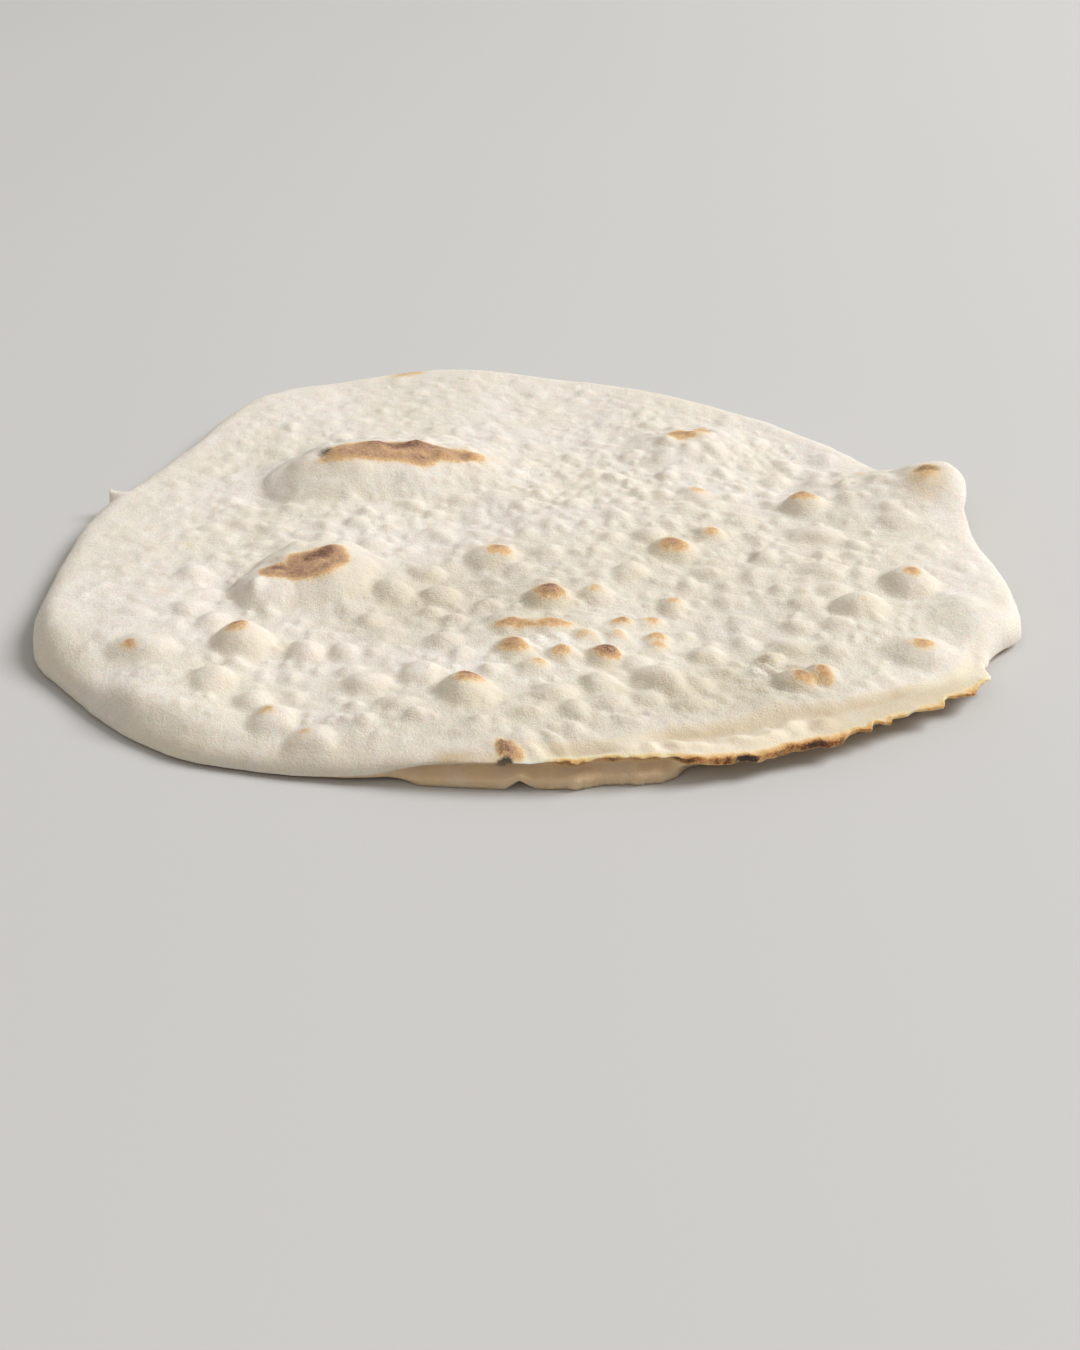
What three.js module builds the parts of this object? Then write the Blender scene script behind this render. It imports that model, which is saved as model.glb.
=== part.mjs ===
// Wrap bread: one large hand-stretched flat bread, blistered and scorched by the oven wall.
// Millimetres, +Z up, origin on the table under the middle of the bread. The blistered face
// is up, +X is to the right and -Y is the near side, where the upper and lower skin part.
import * as THREE from 'three';

// Heights above the table
const PLATE = 8.5; // upper skin over most of the bread
const RIM_LIFT = 0.9; // underside at the rim, clear of the table
const REST_INSET = 26; // the underside lies flat from here inwards

// Outline: distance from the middle to the rim at each bearing, in degrees from +X
const RIM = [
  [2, 134.5], [9, 138.5], [15, 134.5], [22, 125], [33, 121], [54, 118], [70, 121.5], [87, 127],
  [105, 139.5], [118, 143], [131, 145], [140, 138], [150, 131], [161, 130.5], [172, 136],
  [190, 142], [206, 153.7], [214, 152.6], [232, 150.7], [242, 144.5], [249, 139.5], [256, 136.2],
  [268, 134.5], [284, 135.9], [292, 140.2], [300, 142.4], [312, 147], [322.5, 151.6],
  [328.5, 148], [333, 148.2], [337.4, 151.3], [344, 146.6], [352, 140.6],
];
// Height of the rim's widest line at each bearing
const EDGE_HEIGHTS = [
  [30, 4.5], [90, 4.5], [150, 4.5], [188, 4.5], [202, 2.6], [214, 1.4], [240, 1.4], [247, 1.9],
  [251.4, 3], [255.6, 5], [259, 6.9], [263.4, 8], [270, 8.6], [280, 8.7], [287, 8.2], [293, 7.4],
  [302, 7.2], [314, 7], [321, 6.4], [328, 4.6], [335, 2.7], [339, 2.7], [346, 4.5], [354, 4.5],
];

// Stretches of the rim: full between the two bearings, fading out over some degrees more
const ROLL = { from: 214, to: 250, fade: 17 }; // thick soft edge bent down to the table
const TWO_SKINS = { from: 259, to: 285, fade: 5 }; // lower skin showing under the upper one
const LIP = { from: 274, to: 324, fade: 8 }; // thin toasted lip with a valley behind it
const THICK_LIP = { from: 270, to: 300, fade: 8 }; // the lip's edge is thick
const CRESTED = { from: 284, to: 302, fade: 6 }; // the lip has a crest
const CORNER = { from: 5, to: 12, fade: 9 }; // corner puffed up into a dome
const FLAKE = { from: 168.5, to: 169.4, fade: 1.2 }; // small pointed flake at the edge

// How far inwards the upper skin bends down to the edge, and the rim turns under
const BEND = 7;
const BEND_ROLL = 9.5;
const BEND_LIP = 2;
const UNDER = 6;

// Change of the edge's height in some stretches, and of the rim's lift
const EDGE_CORNER = 8;
const EDGE_FLAKE = 5;
const FLAKE_LONG = 0.6; // beyond the outline
const LIFT_ROLL = -0.5;
const LIFT_CORNER = 4;

// Lip: a flap over a deep undercut, with a crest near its edge and a valley behind that.
// Its width from the edge to the valley's far side at some bearings; the places of its features
// are shares of that width
const LIP_WIDTHS = [
  [266, 8], [280, 9.6], [287, 14], [293, 17], [301, 18.5], [308, 14.5], [317, 12], [327, 6],
];
const CREST = { middle: 0.42, half: 0.3 };
const CREST_HIGH = 0.8;
const VALLEYS = [
  { stretch: { from: 274, to: 278, fade: 3 }, band: { middle: 0.58, half: 0.42 } },
  { stretch: { from: 288, to: 314, fade: 6 }, band: { middle: 0.76, half: 0.28 } },
];
const VALLEY_DEEP = 1;
const STEP = [0.5, 1.2]; // where the rise to the bread begins and ends
const QUIET = [0.9, 1.5]; // where the blisters come back
const QUIET_SHARE = 0.65;
const FLAP_THICK = 0.9;
const THICKER_LIP = 1.5;
const FLAP_DEEP = 8;
const FLAP_FACE = 0.2; // share of the rim's rows on the flap's edge
const FLAP_FOOT = 0.7; // share of the rim's rows down to the undercut's end

// Groove between the two skins
const GROOVE = 3;
const GROOVE_SHARE = 0.6; // of the rim's height that the groove takes up
const SKIN_FOOT = 1; // the lower skin's bottom edge is drawn in this far
const SKIN_FOOT_SHARPNESS = 6;

// Long low waves of the whole bread: crest spacing, bearing of travel, height, phase in degrees
const WAVES = [
  { length: 118, bearing: 62, high: 0.7, phase: 40 },
  { length: 83, bearing: 158, high: 0.55, phase: 190 },
  { length: 57, bearing: 15, high: 0.3, phase: 75 },
];

// Broad puffs where the skins stand apart: x, y, length, depth, bearing of the length, height
const PUFFS = [
  [-42, 43, 96, 56, 3, 6.6], [-62, 36, 58, 46, 8, 1.6], [-60, -32, 46, 40, 12, 1.6],
  [54, 60, 56, 40, 20, 4], [-122, -62, 78, 64, 100, 2.6], [104, -66, 70, 38, -28, 1.2],
  [125, -62, 54, 36, -62, 1.2], [10, -72, 88, 46, 0, 1.5], [4, -116, 96, 44, 0, 1.2],
  [126, 21, 112, 66, 10, 6.5], [131, 21, 36, 42, 80, 5.4], [123, -58, 32, 26, -62, 2.1],
  [-132, -62, 30, 24, 115, 1], [-100, -103, 26, 15, 145, 0.7], [-55, -126, 22, 13, 160, 0.6],
];
// Hollows between them, broad lobes with steep sides, blisters that stand out, and smooth beans
// with a clear outline, all in the same form
const HOLLOWS = [
  [-90, -38, 26, 30, 0, 1.4], [-20, 8, 60, 26, 5, 1.2], [-114, -89, 24, 14, 135, 0.8],
  [-94, -114, 20, 11, 150, 0.8], [-78, -121, 22, 11, 160, 0.7], [111, 46, 30, 22, -45, 1.4],
  [-89, -41, 20, 26, 0, 1], [-83, 23, 24, 22, 40, 1.8],
];
const LOBES = [
  [-61, -33, 38, 42, 0, 6], [-74.5, -43, 24, 27, 0, 5], [-63, 33, 44, 30, 4, 3.2],
  [-46, 35, 50, 30, 8, 1.8],
];
const BLISTERS = [
  [-77.7, -74, 17, 18, 0, 6.2], [-105, -79, 22, 13, -10, 3.1], [-83.5, -94.5, 14, 14, 0, 3.6],
  [-71.5, -104.5, 11, 11, 0, 2.6], [-66, -113, 13, 14, 0, 3.2], [-55, -123.5, 14, 13, 0, 2.4],
  [-61, -79, 12, 13, 20, 3.4], [-50, -78.5, 9.5, 10, 0, 2.6], [-16, -102, 18, 18, -25, 5.6],
  [-28, -91.5, 13, 12, 30, 2.8], [-43.5, -96, 13, 12, 0, 2.8], [-38, -43.5, 13, 13, 0, 3.2],
  [-25.5, -44, 12, 12, 0, 3.2], [-29, -30, 11, 10, 0, 2.4], [-11, -20, 17, 16, 10, 4],
  [6, -46.5, 16, 14, 0, 4.6], [20, -45, 11, 11, 0, 2.9], [-4, -65, 13, 10, 0, 2.8],
  [7, -66, 13, 9, 0, 2.4], [2, -65.4, 24, 8, -3, 2.3], [-4, -78.5, 11.5, 12, 0, 3.2],
  [9, -81.5, 9.5, 9, 0, 2.6], [1.5, -87.5, 9, 8, 0, 2.2], [21.5, -82, 11, 11, 0, 3.4],
  [19.5, -95.5, 11, 12, 0, 3.1], [36, -94, 20, 12, -52, 3.8], [44.5, -94.5, 10, 9, -40, 2.4],
  [33.5, -61, 9, 8, 0, 2.2], [41, -51, 10, 9, 60, 2.8], [49, -78, 12, 11, 0, 2.8],
  [43.5, -17, 15, 15, 0, 4.2], [55, -7.5, 11, 11, 0, 2.8], [37.5, -7, 11, 10, 0, 2.4],
  [85.5, 13.5, 15.5, 15, -15, 4.6], [87.5, -6.5, 18, 12, -12, 3], [110, -39.5, 18.5, 18, -15, 4.8],
  [94, -54.5, 15.5, 16, -25, 4.2], [107.5, -78, 22, 16, -15, 3], [51.5, 21.5, 12, 12, 0, 2.4],
  [7, -101, 13, 12, 0, 2.7], [12.5, -109, 9, 9, 0, 2.2], [29, -31, 12, 10, 20, 3],
  [-44, -60, 11, 11, 0, 2.4], [-96, -56, 11, 10, 0, 2.2], [-23, -73, 11, 9, 0, 2.4],
  [-34, -108, 12, 10, 0, 2.2],
];
const BEANS = [[71.5, -94.5, 12.5, 10, 8, 3.4], [79.2, -91.2, 10.5, 10, 25, 3.2]];
// Higher is more pointed, lower is fuller
const PUFF_FULLNESS = 2;
const LOBE_FULLNESS = 0.55;
const BLISTER_FULLNESS = 0.95;
const BEAN_FULLNESS = 0.7;
const BUMP_FULLNESS = 1.4;
const BLISTER_RIM_FADE = 5; // blisters shrink over this distance from the edge

// Small bumps between the blisters, spread evenly over the upper skin
const BUMP_COUNT = 420;
const BUMP_WIDTH = [7.5, 12];
const BUMP_ROUNDNESS = [0.65, 1];
const BUMP_HEIGHT = [0.6, 1.7];
const BUMP_JITTER = 4.5;
const BUMP_RIM_GAP = 12;
const BUMP_CROWDING = 0.36; // least spacing, as a share of the two widths together
const BUMP_SEED = 41;
const GOLDEN_ANGLE = 180 * (3 - Math.sqrt(5));
// The bumps are lower where the skin is smooth: near the left, far and right rim, and back left
const SMOOTH_LEFT = [-118, -75];
const SMOOTH_FAR = [30, 100];
const SMOOTH_RIGHT = [85, 130];
const SMOOTH_BACK_LEFT = { x: [-90, -45], y: [0, 35] };
const SMOOTH_SHARE = 0.55;

// Mesh fineness
const TOP_RINGS = 38;
const RING_POINTS = 6; // points added by each ring
const RING_EASE = 1.14; // rings lie closer together towards the rim
const RIM_ROWS = 5;
const BOTTOM_RINGS = [{ inset: REST_INSET, points: 72 }, { inset: 70, points: 24 }];

const CRUST = new THREE.MeshStandardMaterial({ color: '#e6dfd1', roughness: 0.9, metalness: 0 });

const { clamp, degToRad, lerp, smoothstep } = THREE.MathUtils;

// Repeatable draws between 0 and 1
function seededDraws(seed) {
  let state = seed;
  return () => {
    state = (state + 0x6d2b79f5) | 0;
    let mixed = Math.imul(state ^ (state >>> 15), state | 1);
    mixed = (mixed + Math.imul(mixed ^ (mixed >>> 7), mixed | 61)) ^ mixed;
    return ((mixed ^ (mixed >>> 14)) >>> 0) / 2 ** 32;
  };
}

// Share of a stretch of the rim that is in effect at a bearing
function within(stretch, bearing) {
  const middle = (stretch.from + stretch.to) / 2;
  const half = (stretch.to - stretch.from) / 2;
  const away = Math.abs(((bearing - middle + 900) % 360) - 180);
  return 1 - smoothstep(away, half, half + stretch.fade);
}

// Smooth closed curve through values at some bearings
function roundCurve(pairs, bearing) {
  const count = pairs.length;
  let next = pairs.findIndex(([angle]) => angle > bearing);
  if (next < 0) next = count;
  const at = (k) => {
    const turns = Math.floor(k / count);
    const [angle, value] = pairs[k - turns * count];
    return [angle + 360 * turns, value];
  };
  const [[a0, v0], [a1, v1], [a2, v2], [a3, v3]] = [next - 2, next - 1, next, next + 1].map(at);
  const span = a2 - a1;
  const share = (bearing - a1) / span;
  const slope1 = ((v2 - v0) / (a2 - a0)) * span;
  const slope2 = ((v3 - v1) / (a3 - a1)) * span;
  const square = share * share;
  const cube = square * share;
  return (
    (2 * cube - 3 * square + 1) * v1
    + (cube - 2 * square + share) * slope1
    + (3 * square - 2 * cube) * v2
    + (cube - square) * slope2
  );
}

// Straight lines between values at some bearings, level before the first and after the last
function brokenLine(pairs, bearing) {
  const next = pairs.findIndex(([angle]) => angle > bearing);
  if (next < 0) return pairs[pairs.length - 1][1];
  if (next === 0) return pairs[0][1];
  const [a1, v1] = pairs[next - 1];
  const [a2, v2] = pairs[next];
  return lerp(v1, v2, (bearing - a1) / (a2 - a1));
}

// Everything about the rim at one bearing
function rimAt(bearing) {
  const roll = within(ROLL, bearing);
  const twoSkins = within(TWO_SKINS, bearing);
  const lip = within(LIP, bearing);
  const corner = within(CORNER, bearing);
  const flake = within(FLAKE, bearing);
  return {
    radius: roundCurve(RIM, bearing) + FLAKE_LONG * flake,
    edge: roundCurve(EDGE_HEIGHTS, bearing) + EDGE_CORNER * corner + EDGE_FLAKE * flake,
    lift: (RIM_LIFT + LIFT_ROLL * roll) * (1 - twoSkins) + LIFT_CORNER * corner,
    bend: lerp(lerp(BEND, BEND_ROLL, roll), BEND_LIP, lip),
    lip,
    twoSkins,
    flap: lip * (1 - twoSkins),
    flapThick: FLAP_THICK + THICKER_LIP * within(THICK_LIP, bearing),
    lipWidth: brokenLine(LIP_WIDTHS, bearing),
    crested: within(CRESTED, bearing),
    valleys: VALLEYS.map(({ stretch }) => within(stretch, bearing)),
  };
}

// Height of a rounded bump at a plan point: full height in the middle, none past its outline
function bump(x, y, [midX, midY, long, deep, bearing, high], fullness) {
  const angle = degToRad(bearing);
  const along = (x - midX) * Math.cos(angle) + (y - midY) * Math.sin(angle);
  const across = (y - midY) * Math.cos(angle) - (x - midX) * Math.sin(angle);
  const left = 1 - (along / (long / 2)) ** 2 - (across / (deep / 2)) ** 2;
  return left > 0 ? high * left ** fullness : 0;
}

// Height of the highest of some bumps at a plan point
function highest(x, y, bumps, fullness) {
  return Math.max(...bumps.map((each) => bump(x, y, each, fullness)));
}

// 1 where the skin is smooth, 0 where it is full of small bumps
function smoothShare(x, y) {
  const backLeft = (1 - smoothstep(x, ...SMOOTH_BACK_LEFT.x)) * smoothstep(y, ...SMOOTH_BACK_LEFT.y);
  return Math.max(
    1 - smoothstep(x, ...SMOOTH_LEFT),
    smoothstep(y, ...SMOOTH_FAR),
    smoothstep(x, ...SMOOTH_RIGHT),
    backLeft,
  );
}

// Small bumps wherever there is room for them between the blisters
function makeBumps() {
  const bumps = [];
  const draw = seededDraws(BUMP_SEED);
  for (let k = 0; k < BUMP_COUNT; k += 1) {
    const bearing = (k * GOLDEN_ANGLE) % 360;
    const reach = roundCurve(RIM, bearing) - BUMP_RIM_GAP;
    const radius = reach * Math.sqrt((k + 0.5) / BUMP_COUNT);
    const x = radius * Math.cos(degToRad(bearing)) + lerp(-BUMP_JITTER, BUMP_JITTER, draw());
    const y = radius * Math.sin(degToRad(bearing)) + lerp(-BUMP_JITTER, BUMP_JITTER, draw());
    const long = lerp(...BUMP_WIDTH, draw());
    const deep = long * lerp(...BUMP_ROUNDNESS, draw());
    const turn = 180 * draw();
    const high = lerp(...BUMP_HEIGHT, draw()) * (1 - SMOOTH_SHARE * smoothShare(x, y));
    const roomy = [...BLISTERS, ...BEANS, ...bumps].every(([otherX, otherY, otherLong]) => (
      Math.hypot(x - otherX, y - otherY) > BUMP_CROWDING * (long + otherLong)
    ));
    if (roomy) bumps.push([x, y, long, deep, turn, high]);
  }
  return bumps;
}

// 1 along the middle of a band of the lip, 0 beside it
function lipBand(rim, inset, { middle, half }) {
  const away = (inset / rim.lipWidth - middle) / half;
  return clamp(1 - away * away, 0, 1) ** 2;
}

// Height of the upper skin at a plan point, some way in from the rim
function upperSkin(x, y, rim, inset, bumps) {
  let body = PLATE;
  for (const { length, bearing, high, phase } of WAVES) {
    const travel = x * Math.cos(degToRad(bearing)) + y * Math.sin(degToRad(bearing));
    body += high * Math.sin((2 * Math.PI * travel) / length + degToRad(phase));
  }
  for (const puff of PUFFS) body += bump(x, y, puff, PUFF_FULLNESS);
  for (const hollow of HOLLOWS) body -= bump(x, y, hollow, PUFF_FULLNESS);

  const alongLip = inset / rim.lipWidth;
  body = lerp(body, rim.edge, rim.lip * (1 - smoothstep(alongLip, ...STEP)));
  body += CREST_HIGH * rim.crested * lipBand(rim, inset, CREST);
  VALLEYS.forEach(({ band }, k) => {
    body -= VALLEY_DEEP * rim.valleys[k] * lipBand(rim, inset, band);
  });
  const bent = 1 - clamp(inset / rim.bend, 0, 1);
  const skin = lerp(rim.edge, body, Math.sqrt(1 - bent * bent));

  const blister = Math.max(
    highest(x, y, BLISTERS, BLISTER_FULLNESS),
    highest(x, y, bumps, BUMP_FULLNESS),
  );
  const lobe = highest(x, y, LOBES, LOBE_FULLNESS);
  const bean = highest(x, y, BEANS, BEAN_FULLNESS);
  const quiet = QUIET_SHARE * rim.lip * (1 - smoothstep(alongLip, ...QUIET));
  return skin + Math.max(blister + lobe, bean) * clamp(inset / BLISTER_RIM_FADE, 0, 1) * (1 - quiet);
}

// Height of the lower skin: flat on the table in the middle, lifted a little at the rim
function lowerSkin(rim, inset) {
  const outer = clamp(1 - (inset - UNDER) / (REST_INSET - UNDER), 0, 1);
  return rim.lift * outer * outer;
}

// One row of the rim's outside, from the edge (turn 0) to the underside (turn 1)
function rimRow(rim, turn) {
  const quarter = turn * (Math.PI / 2);
  const foot = lowerSkin(rim, UNDER);
  const round = UNDER * (1 - Math.cos(quarter));
  const groove = GROOVE * Math.sin(Math.PI * Math.min(turn / GROOVE_SHARE, 1))
    + SKIN_FOOT * turn ** SKIN_FOOT_SHARPNESS;
  const flapInset = FLAP_DEEP * smoothstep(turn, FLAP_FACE, FLAP_FOOT);
  const flapBottom = rim.edge - rim.flapThick * smoothstep(turn, 0, FLAP_FACE);
  const flapHeight = lerp(flapBottom, foot, smoothstep(turn, FLAP_FOOT, 1));
  const height = lerp(rim.edge, foot, lerp(Math.sin(quarter), turn, rim.twoSkins));
  return {
    inset: lerp(lerp(round, groove, rim.twoSkins), flapInset, rim.flap),
    height: lerp(height, flapHeight, rim.flap),
  };
}

// Closed skin of the bread from rings of points, round by round over the rim and under it
function breadGeometry() {
  const bumps = makeBumps();
  const positions = [];
  const triangles = [];

  function addPoint(bearing, radius, height) {
    positions.push(radius * Math.cos(degToRad(bearing)), radius * Math.sin(degToRad(bearing)), height);
    return positions.length / 3 - 1;
  }

  // A ring lists its points with their bearings, and its first point again a full turn on
  function addRing(count, shift, place) {
    const ring = [];
    for (let step = 0; step < count; step += 1) {
      const bearing = (360 * (step + shift)) / count;
      const rim = rimAt(bearing);
      const { inset, height } = place(rim, bearing);
      ring.push({ bearing, index: addPoint(bearing, rim.radius - inset, height) });
    }
    ring.push({ bearing: ring[0].bearing + 360, index: ring[0].index });
    return ring;
  }

  // Triangles between two rings, always stepping on along the ring that lags behind
  function stitch(first, second) {
    let i = 0;
    let j = 0;
    while (i < first.length - 1 || j < second.length - 1) {
      const firstNext = i < first.length - 1 ? first[i + 1].bearing : Infinity;
      const secondNext = j < second.length - 1 ? second[j + 1].bearing : Infinity;
      if (firstNext <= secondNext) {
        triangles.push(first[i].index, second[j].index, first[i + 1].index);
        i += 1;
      } else {
        triangles.push(first[i].index, second[j].index, second[j + 1].index);
        j += 1;
      }
    }
  }

  const topRings = [];
  for (let k = 1; k <= TOP_RINGS; k += 1) {
    const inward = (1 - k / TOP_RINGS) ** RING_EASE;
    topRings.push(addRing(RING_POINTS * k, (k % 2) / 2, (rim, bearing) => {
      const inset = rim.radius * inward;
      const x = (rim.radius - inset) * Math.cos(degToRad(bearing));
      const y = (rim.radius - inset) * Math.sin(degToRad(bearing));
      return { inset, height: upperSkin(x, y, rim, inset, bumps) };
    }));
  }
  const edgeCount = RING_POINTS * TOP_RINGS;
  const rimRings = [];
  for (let row = 1; row <= RIM_ROWS; row += 1) {
    rimRings.push(addRing(edgeCount, (TOP_RINGS % 2) / 2, (rim) => rimRow(rim, row / RIM_ROWS)));
  }
  const bottomRings = BOTTOM_RINGS.map(({ inset, points }) => (
    addRing(points, 0, (rim) => ({ inset, height: lowerSkin(rim, inset) }))
  ));

  const rings = [...topRings, ...rimRings, ...bottomRings];
  for (let k = 1; k < rings.length; k += 1) stitch(rings[k - 1], rings[k]);

  const middle = rimAt(0);
  const topMiddle = addPoint(0, 0, upperSkin(0, 0, middle, middle.radius, bumps));
  const firstRing = rings[0];
  for (let step = 1; step < firstRing.length; step += 1) {
    triangles.push(topMiddle, firstRing[step - 1].index, firstRing[step].index);
  }
  const bottomMiddle = addPoint(0, 0, 0);
  const lastRing = rings[rings.length - 1];
  for (let step = 1; step < lastRing.length; step += 1) {
    triangles.push(lastRing[step - 1].index, bottomMiddle, lastRing[step].index);
  }

  const geometry = new THREE.BufferGeometry();
  geometry.setAttribute('position', new THREE.Float32BufferAttribute(positions, 3));
  geometry.setIndex(triangles);
  geometry.computeVertexNormals();
  return geometry;
}

const bread = new THREE.Mesh(breadGeometry(), CRUST);
bread.name = 'bread';

const wrapBread = new THREE.Group();
wrapBread.add(bread);

export default wrapBread;
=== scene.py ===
"""Looks of the wrap bread: its blistered skin in full detail, its baked colours, camera and light.

Shapes are worked out in millimetres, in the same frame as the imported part: +Z up, the near side at -Y.
"""
import math
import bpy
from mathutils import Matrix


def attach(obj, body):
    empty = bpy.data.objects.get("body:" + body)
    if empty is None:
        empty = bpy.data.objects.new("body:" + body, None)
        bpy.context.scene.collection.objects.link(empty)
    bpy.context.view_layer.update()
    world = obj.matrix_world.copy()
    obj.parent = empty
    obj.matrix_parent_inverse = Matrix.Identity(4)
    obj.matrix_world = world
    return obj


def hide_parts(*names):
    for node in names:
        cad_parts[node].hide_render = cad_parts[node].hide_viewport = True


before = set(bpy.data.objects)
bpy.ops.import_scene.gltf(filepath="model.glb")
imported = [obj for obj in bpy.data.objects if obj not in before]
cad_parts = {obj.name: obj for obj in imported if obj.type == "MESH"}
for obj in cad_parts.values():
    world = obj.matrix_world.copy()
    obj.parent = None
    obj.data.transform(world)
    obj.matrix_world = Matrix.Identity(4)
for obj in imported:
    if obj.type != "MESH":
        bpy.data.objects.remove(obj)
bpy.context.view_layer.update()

from types import SimpleNamespace

import bpy
import numpy as np

MM = 0.001

# Heights above the table
PLATE = 8.5  # upper skin over most of the bread
RIM_LIFT = 0.9  # underside at the rim, clear of the table
REST_INSET = 26  # the underside lies flat from here inwards

# Outline: distance from the middle to the rim at each bearing, in degrees from +X
RIM = [
    (2, 134.5), (9, 138.5), (15, 134.5), (22, 125), (33, 121), (54, 118), (70, 121.5), (87, 127),
    (105, 139.5), (118, 143), (131, 145), (140, 138), (150, 131), (161, 130.5), (172, 136),
    (190, 142), (206, 153.7), (214, 152.6), (232, 150.7), (242, 144.5), (249, 139.5), (256, 136.2),
    (268, 134.5), (284, 135.9), (292, 140.2), (300, 142.4), (312, 147), (322.5, 151.6),
    (328.5, 148), (333, 148.2), (337.4, 151.3), (344, 146.6), (352, 140.6),
]
# Height of the rim's widest line at each bearing
EDGE_HEIGHTS = [
    (30, 4.5), (90, 4.5), (150, 4.5), (188, 4.5), (202, 2.6), (214, 1.4), (240, 1.4), (247, 1.9),
    (251.4, 3), (255.6, 5), (259, 6.9), (263.4, 8), (270, 8.6), (280, 8.7), (287, 8.2), (293, 7.4),
    (302, 7.2), (314, 7), (321, 6.4), (328, 4.6), (335, 2.7), (339, 2.7), (346, 4.5), (354, 4.5),
]

# Stretches of the rim: from, to and fading out, in degrees
ROLL = (214, 250, 17)  # thick soft edge bent down
TWO_SKINS = (259, 285, 5)  # lower skin showing under the upper one
LIP = (274, 324, 8)  # thin toasted lip with a valley behind it
CORNER = (5, 12, 9)  # corner puffed up into a dome
THICK_LIP = (270, 300, 8)  # the lip's edge is thick
TOASTED = (274, 321, 5)  # the lip is toasted
TANNED = (305, 321, 5)  # the lip has no flour
TAN_AND_SHADE_EDGE = (261.5, 267, 3)  # a narrow band along the edge is painted tan: partly skin without flour, partly painted shade of the edge turning down
CRESTED = (284, 302, 6)  # the lip has a crest
CRUMBLED = (303, 326, 4)  # the lip's edge is crumbled
FLAKE = (168.9, 169.1, 0.9)  # small pointed flake at the edge

# How far inwards the upper skin bends down to the edge, and the rim turns under
BEND = 7
BEND_ROLL = 9.5
BEND_LIP = 2
UNDER = 6

# Change of the edge's height in each stretch, and of the rim's lift
EDGE_CORNER = 8
EDGE_FLAKE = 5
FLAKE_LONG = 0.6  # beyond the outline
LIFT_ROLL = -0.5
LIFT_CORNER = 4
LIFT_NOTCH = 3
NOTCH = (269.3, 1.7)  # pointed notch in the lower skin's edge: bearing and half width

# Lip: a flap over a deep undercut, with a crest near its edge and a valley behind that.
# Its width runs from the edge to the valley's far side, and its features lie at shares of that.
LIP_WIDTHS = [
    (266, 8), (280, 9.6), (287, 14), (293, 17), (301, 18.5), (308, 14.5), (317, 12), (327, 6),
]
CREST = (0.42, 0.3)  # middle and half width
# Valleys: the stretch of the rim, middle and half width
VALLEYS = [((274, 278, 3), (0.58, 0.42)), ((288, 314, 6), (0.76, 0.28))]
STEP = (0.5, 1.2)  # where the rise to the bread begins and ends
QUIET = (0.9, 1.5)  # where the relief comes back
QUIET_SHARE = 0.65
TANNED_FADE = (0.5, 0.9)
TAN_AND_SHADE_EDGE_FADE = (1.5, 6)  # in millimetres
TANNED_SHARE = 0.7
BARE_LIP = (0.8, 1.1)  # the lip has less flour out from here
CREST_HIGH = 0.8
CREST_LUMPS = 5  # size of its lumps
CREST_UNEVEN = 1.8  # how much they vary its height
VALLEY_DEEP = 1
FLAP_THICK = 0.9
THICKER_LIP = 1.2
FLAP_DEEP = 8
FLAP_FACE = 0.2  # share of the rim's rows on the flap's edge
FLAP_FOOT = 0.7  # share of the rim's rows down to the undercut's end
UNDERCUT_GAP = 3  # the underside begins this far in from the undercut's end

# Groove between the two skins
GROOVE = 3
GROOVE_SHARE = 0.6  # of the rim's height that the groove takes up
GROOVE_SHARPNESS = 0.6  # lower cuts in more sharply under the upper skin
SKIN_FOOT = 1  # the lower skin's bottom edge is drawn in this far
SKIN_FOOT_SHARPNESS = 6

# Long low waves of the whole bread: crest spacing, bearing of travel, height, phase in degrees
WAVES = [(118, 62, 0.7, 40), (83, 158, 0.55, 190), (57, 15, 0.3, 75)]

# Broad puffs where the skins stand apart: x, y, length, depth, bearing of the length, height
PUFFS = [
    (-42, 43, 96, 56, 3, 6.6),
    (-62, 36, 58, 46, 8, 1.6),
    (-57, -34, 70, 60, 12, 3.2),
    (54, 60, 56, 40, 20, 4),
    (-122, -62, 78, 64, 100, 2.6),
    (104, -66, 70, 38, -28, 1.2),
    (125, -62, 54, 36, -62, 1.2),
    (10, -72, 88, 46, 0, 1.5),
    (4, -116, 96, 44, 0, 1.2),
    (126, 21, 112, 66, 10, 6.5),
    (131, 21, 36, 42, 80, 5.4),
    (123, -58, 32, 26, -62, 2.1),
    (-132, -62, 30, 24, 115, 1),
    (-100, -103, 26, 15, 145, 0.7),
    (-55, -126, 22, 13, 160, 0.6),
]
# Hollows between them, in the same form
HOLLOWS = [
    (-90, -38, 26, 30, 0, 1.4), (-20, 8, 60, 26, 5, 1.2), (-114, -89, 24, 14, 135, 0.8),
    (-94, -114, 20, 11, 150, 0.8), (-78, -121, 22, 11, 160, 0.7), (111, 46, 30, 22, -45, 1.4),
    (-89, -41, 20, 26, 0, 1), (65.4, -21, 7, 9, 0, 1.6), (-83, 23, 24, 22, 40, 1.8),
]

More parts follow.
